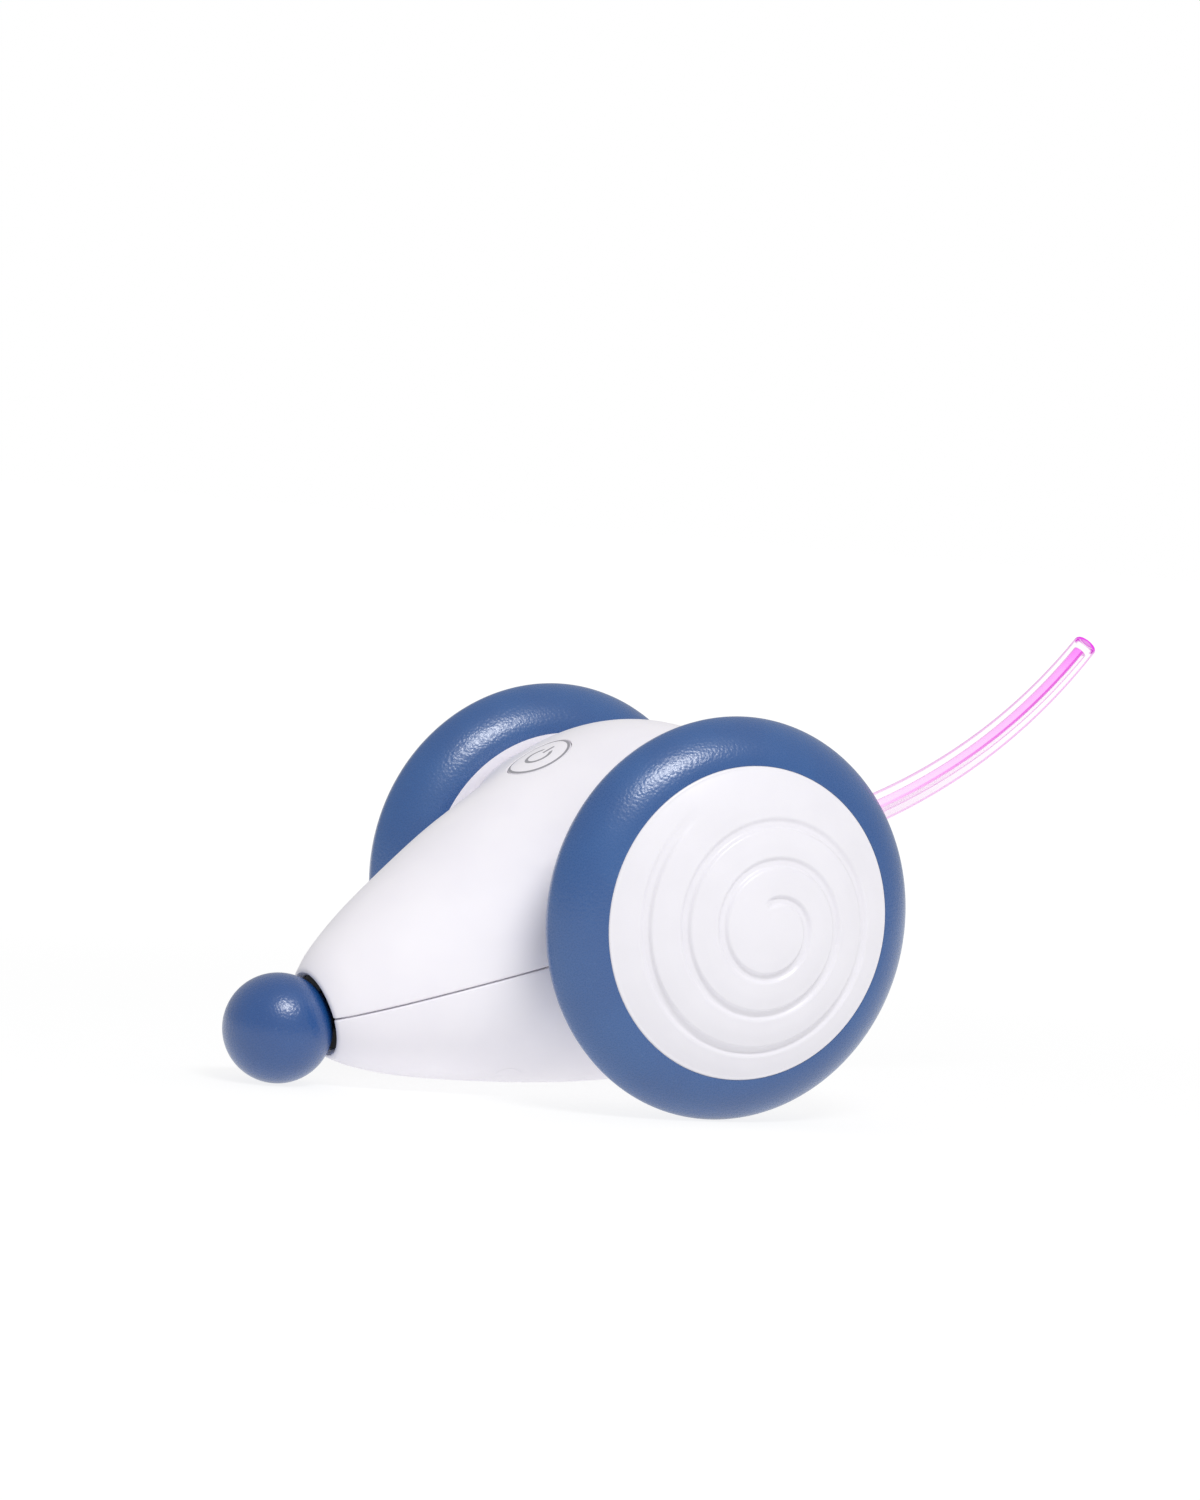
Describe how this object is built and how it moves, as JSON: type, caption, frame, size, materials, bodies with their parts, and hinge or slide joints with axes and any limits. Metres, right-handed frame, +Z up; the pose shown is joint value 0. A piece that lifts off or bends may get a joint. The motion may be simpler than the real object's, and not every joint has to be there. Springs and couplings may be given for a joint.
{
  "type": "robotic mouse cat toy",
  "caption": "Two-wheeled battery cat toy: a drum body with a nose cone between two large soft-tyred wheels, a ball nose that slides in when bumped, and a lit tail.",
  "frame": {"origin": "on the floor, under the middle of the whole toy's box, nose to tail tip", "axes": "+Z up, +Y from nose to tail, +X to the toy's own left, along the wheels' axle"},
  "size_m": [0.0882, 0.1524, 0.0778],
  "materials": {
    "white_shell": "satin, fine moulded grain",
    "white_wheel": "satin",
    "blue_rubber": "matt, lightly speckled",
    "clear_tail": "clear soft plastic, polished",
    "light_guide": "clear core that carries pink light",
    "lamp": "moulded lamp",
    "black_plastic": "matt",
    "gear_plastic": "smooth, slightly waxy",
    "steel": "plain bright steel",
    "motor_can": "drawn steel can",
    "brass": "machined",
    "bronze": "sintered",
    "board": "solder mask over glass fibre",
    "chip_black": "moulded",
    "battery_wrap": "foil pouch",
    "socket_steel": "drawn steel shell"
  },
  "bodies": {
    "root": {"upper_shell": "white_shell", "lower_shell": "white_shell", "shell_screws": "steel", "screw_plugs": "white_shell", "tail_tube": "clear_tail", "tail_light_guide": "light_guide", "tail_holder": "black_plastic", "tail_lamp": "lamp", "circuit_board": "board", "board_screws": "steel", "power_switch": "black_plastic", "board_chips": "chip_black", "battery": "battery_wrap", "battery_tray": "black_plastic", "charge_socket": "socket_steel", "charge_board": "board", "nose_guide": "black_plastic", "bump_switch": "black_plastic", "gearbox_frame_left": "black_plastic", "gearbox_cover_left": "black_plastic", "gearbox_screws_left": "steel", "gear_pins_left": "steel", "motor_left": "motor_can", "axle_bush_left": "bronze", "gearbox_frame_right": "black_plastic", "gearbox_cover_right": "black_plastic", "gearbox_screws_right": "steel", "gear_pins_right": "steel", "motor_right": "motor_can", "axle_bush_right": "bronze"},
    "nose": {"nose_ball": "blue_rubber", "nose_stem": "black_plastic", "nose_spring": "steel", "bump_plunger": "black_plastic"},
    "key": {"power_key": "white_shell", "key_plunger": "black_plastic"},
    "wheel_left": {"tyre_left": "blue_rubber", "wheel_rim_left": "white_wheel", "wheel_cover_left": "white_wheel", "wheel_screw_left": "steel", "axle_left": "steel", "output_gear_left": "gear_plastic"},
    "second_gear_left": {"second_gear_left": "gear_plastic"},
    "first_gear_left": {"first_gear_left": "gear_plastic"},
    "pinion_left": {"motor_pinion_left": "brass", "motor_shaft_left": "steel"},
    "wheel_right": {"tyre_right": "blue_rubber", "wheel_rim_right": "white_wheel", "wheel_cover_right": "white_wheel", "wheel_screw_right": "steel", "axle_right": "steel", "output_gear_right": "gear_plastic"},
    "second_gear_right": {"second_gear_right": "gear_plastic"},
    "first_gear_right": {"first_gear_right": "gear_plastic"},
    "pinion_right": {"motor_pinion_right": "brass", "motor_shaft_right": "steel"}
  },
  "joints": [
    {"name": "wheel_left_spin", "type": "hinge", "parent": "root", "child": "wheel_left", "pos_m": [0, -0.00672, 0.0316], "axis": [1, 0, 0], "continuous": true},
    {"name": "second_gear_left_spin", "type": "hinge", "parent": "root", "child": "second_gear_left", "pos_m": [0, -0.01161, 0.04256], "axis": [1, 0, 0], "continuous": true},
    {"name": "first_gear_left_spin", "type": "hinge", "parent": "root", "child": "first_gear_left", "pos_m": [0, -0.01793, 0.03417], "axis": [1, 0, 0], "continuous": true},
    {"name": "pinion_left_spin", "type": "hinge", "parent": "root", "child": "pinion_left", "pos_m": [0, -0.01875, 0.02445], "axis": [1, 0, 0], "continuous": true},
    {"name": "wheel_right_spin", "type": "hinge", "parent": "root", "child": "wheel_right", "pos_m": [0, -0.00672, 0.0316], "axis": [1, 0, 0], "continuous": true},
    {"name": "second_gear_right_spin", "type": "hinge", "parent": "root", "child": "second_gear_right", "pos_m": [0, -0.01161, 0.04256], "axis": [1, 0, 0], "continuous": true},
    {"name": "first_gear_right_spin", "type": "hinge", "parent": "root", "child": "first_gear_right", "pos_m": [0, -0.01793, 0.03417], "axis": [1, 0, 0], "continuous": true},
    {"name": "pinion_right_spin", "type": "hinge", "parent": "root", "child": "pinion_right", "pos_m": [0, -0.01875, 0.02445], "axis": [1, 0, 0], "continuous": true},
    {"name": "nose_bump", "type": "slide", "parent": "root", "child": "nose", "axis": [0, 0.9356, 0.3531], "range_m": [0, 0.001], "stiffness_N_per_m": 300, "springref_m": -0.001, "deforming": ["nose_spring"]},
    {"name": "power_key_press", "type": "slide", "parent": "root", "child": "key", "axis": [0, 0.5192, -0.8547], "range_m": [0, 0.0003], "stiffness_N_per_m": 800, "springref_m": -0.0005}
  ],
  "couplings": [
    {"joint": "second_gear_left_spin", "follows": "wheel_left_spin", "ratio": -3},
    {"joint": "first_gear_left_spin", "follows": "wheel_left_spin", "ratio": 9.6},
    {"joint": "pinion_left_spin", "follows": "wheel_left_spin", "ratio": -32},
    {"joint": "second_gear_right_spin", "follows": "wheel_right_spin", "ratio": -3},
    {"joint": "first_gear_right_spin", "follows": "wheel_right_spin", "ratio": 9.6},
    {"joint": "pinion_right_spin", "follows": "wheel_right_spin", "ratio": -32}
  ]
}
